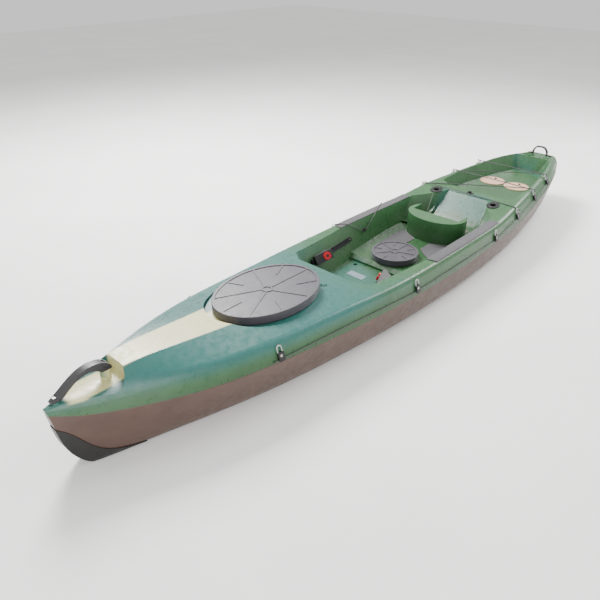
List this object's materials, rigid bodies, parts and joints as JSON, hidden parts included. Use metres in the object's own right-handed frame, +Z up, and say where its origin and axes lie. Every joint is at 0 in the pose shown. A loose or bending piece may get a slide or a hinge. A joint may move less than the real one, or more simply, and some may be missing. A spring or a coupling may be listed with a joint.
{
  "type": "sit-on-top kayak",
  "caption": "Sit-on-top touring kayak: two-shell moulded hull with cockpit, hatches, sliding foot braces, handles, rod holders and elastic deck cords.",
  "frame": {"origin": "on the ground under the middle of the boat, bottom centre of its box", "axes": "+X to the bow, +Y to port, +Z up"},
  "size_m": [4.53, 0.885, 0.458],
  "materials": {
    "hull_plastic": "satin moulded brown",
    "deck_plastic": "satin moulded green blending to teal and cream",
    "screw_steel": "bright",
    "lid_plastic": "soft matt grey-purple",
    "seal_rubber": "matt",
    "foam_block": "closed-cell foam",
    "foam_pad": "fine grained foam",
    "seat_foam": "fine grained foam",
    "red_plastic": "gloss",
    "elastic_cord": "braided",
    "line_cord": "braided",
    "loop_cord": "braided",
    "disc_plastic": "matt",
    "plate_metal": "satin",
    "handle_rubber": "satin",
    "guard_plastic": "satin",
    "rail_metal": "black anodised",
    "black_plastic": "satin"
  },
  "bodies": {
    "boat": {"bow_foam_block": "foam_block", "bow_handle": "handle_rubber", "bow_handle_screws": "screw_steel", "bow_keel_guard": "guard_plastic", "centre_hatch_rim": "black_plastic", "centre_hatch_rim_screws": "screw_steel", "centre_pad_eye": "black_plastic", "centre_pad_eye_screws": "screw_steel", "cord_loops_port": "loop_cord", "cord_loops_starboard": "loop_cord", "deck_shell": "deck_plastic", "floor_pad_port": "foam_pad", "floor_pad_starboard": "foam_pad", "floor_plate": "plate_metal", "foot_rail_port": "rail_metal", "foot_rail_screws": "screw_steel", "foot_rail_starboard": "rail_metal", "front_hatch_rim": "black_plastic", "front_hatch_rim_screws": "screw_steel", "grab_line_port": "line_cord", "grab_line_starboard": "line_cord", "gunwale_pad_port": "foam_pad", "gunwale_pad_starboard": "foam_pad", "hull_shell": "hull_plastic", "keeper_eye_screws": "screw_steel", "keeper_eyes": "black_plastic", "keeper_hook": "black_plastic", "pad_eye_screws_port": "screw_steel", "pad_eye_screws_starboard": "screw_steel", "pad_eyes_port": "black_plastic", "pad_eyes_starboard": "black_plastic", "paddle_keeper_bungee": "elastic_cord", "rear_bungee": "elastic_cord", "rear_disc_port": "disc_plastic", "rear_disc_starboard": "disc_plastic", "rear_disc_studs": "black_plastic", "rod_holder_port": "black_plastic", "rod_holder_screws": "screw_steel", "rod_holder_starboard": "black_plastic", "seat_pad": "seat_foam", "stern_foam_block": "foam_block", "stern_handle": "handle_rubber", "stern_handle_screws": "screw_steel"},
    "front_lid": {"front_hatch_lid": "lid_plastic", "front_hatch_seal": "seal_rubber"},
    "centre_lid": {"centre_hatch_lid": "lid_plastic", "centre_hatch_seal": "seal_rubber"},
    "pedal_port": {"pedal_port": "black_plastic", "pedal_tread_port": "handle_rubber"},
    "pedal_starboard": {"pedal_starboard": "black_plastic", "pedal_tread_starboard": "handle_rubber"},
    "lock_port": {"lock_ring_port": "red_plastic"},
    "lock_starboard": {"lock_ring_starboard": "red_plastic"},
    "drain_plug": {"drain_plug": "black_plastic"}
  },
  "joints": [
    {"name": "front_lid_lift", "type": "slide", "parent": "boat", "child": "front_lid", "axis": [0, 0, 1], "range_m": [0, 0.12]},
    {"name": "centre_lid_lift", "type": "slide", "parent": "boat", "child": "centre_lid", "axis": [0, 0, 1], "range_m": [0, 0.12]},
    {"name": "pedal_slide_port", "type": "slide", "parent": "boat", "child": "pedal_port", "axis": [0.9949, -0.1007, 0], "range_m": [-0.28, 0.01]},
    {"name": "pedal_slide_starboard", "type": "slide", "parent": "boat", "child": "pedal_starboard", "axis": [0.9949, 0.1007, 0], "range_m": [-0.28, 0.01]},
    {"name": "lock_turn_port", "type": "hinge", "parent": "pedal_port", "child": "lock_port", "pos_m": [0.31836, 0.2014, 0.25692], "axis": [0.3656, -0.8288, 0.4236], "range_deg": [0, 90]},
    {"name": "lock_turn_starboard", "type": "hinge", "parent": "pedal_starboard", "child": "lock_starboard", "pos_m": [0.31836, -0.2014, 0.25692], "axis": [0.3656, 0.8288, 0.4236], "range_deg": [-90, 0]},
    {"name": "drain_plug_pull", "type": "slide", "parent": "boat", "child": "drain_plug", "axis": [-1, 0, 0], "range_m": [0, 0.03]}
  ]
}
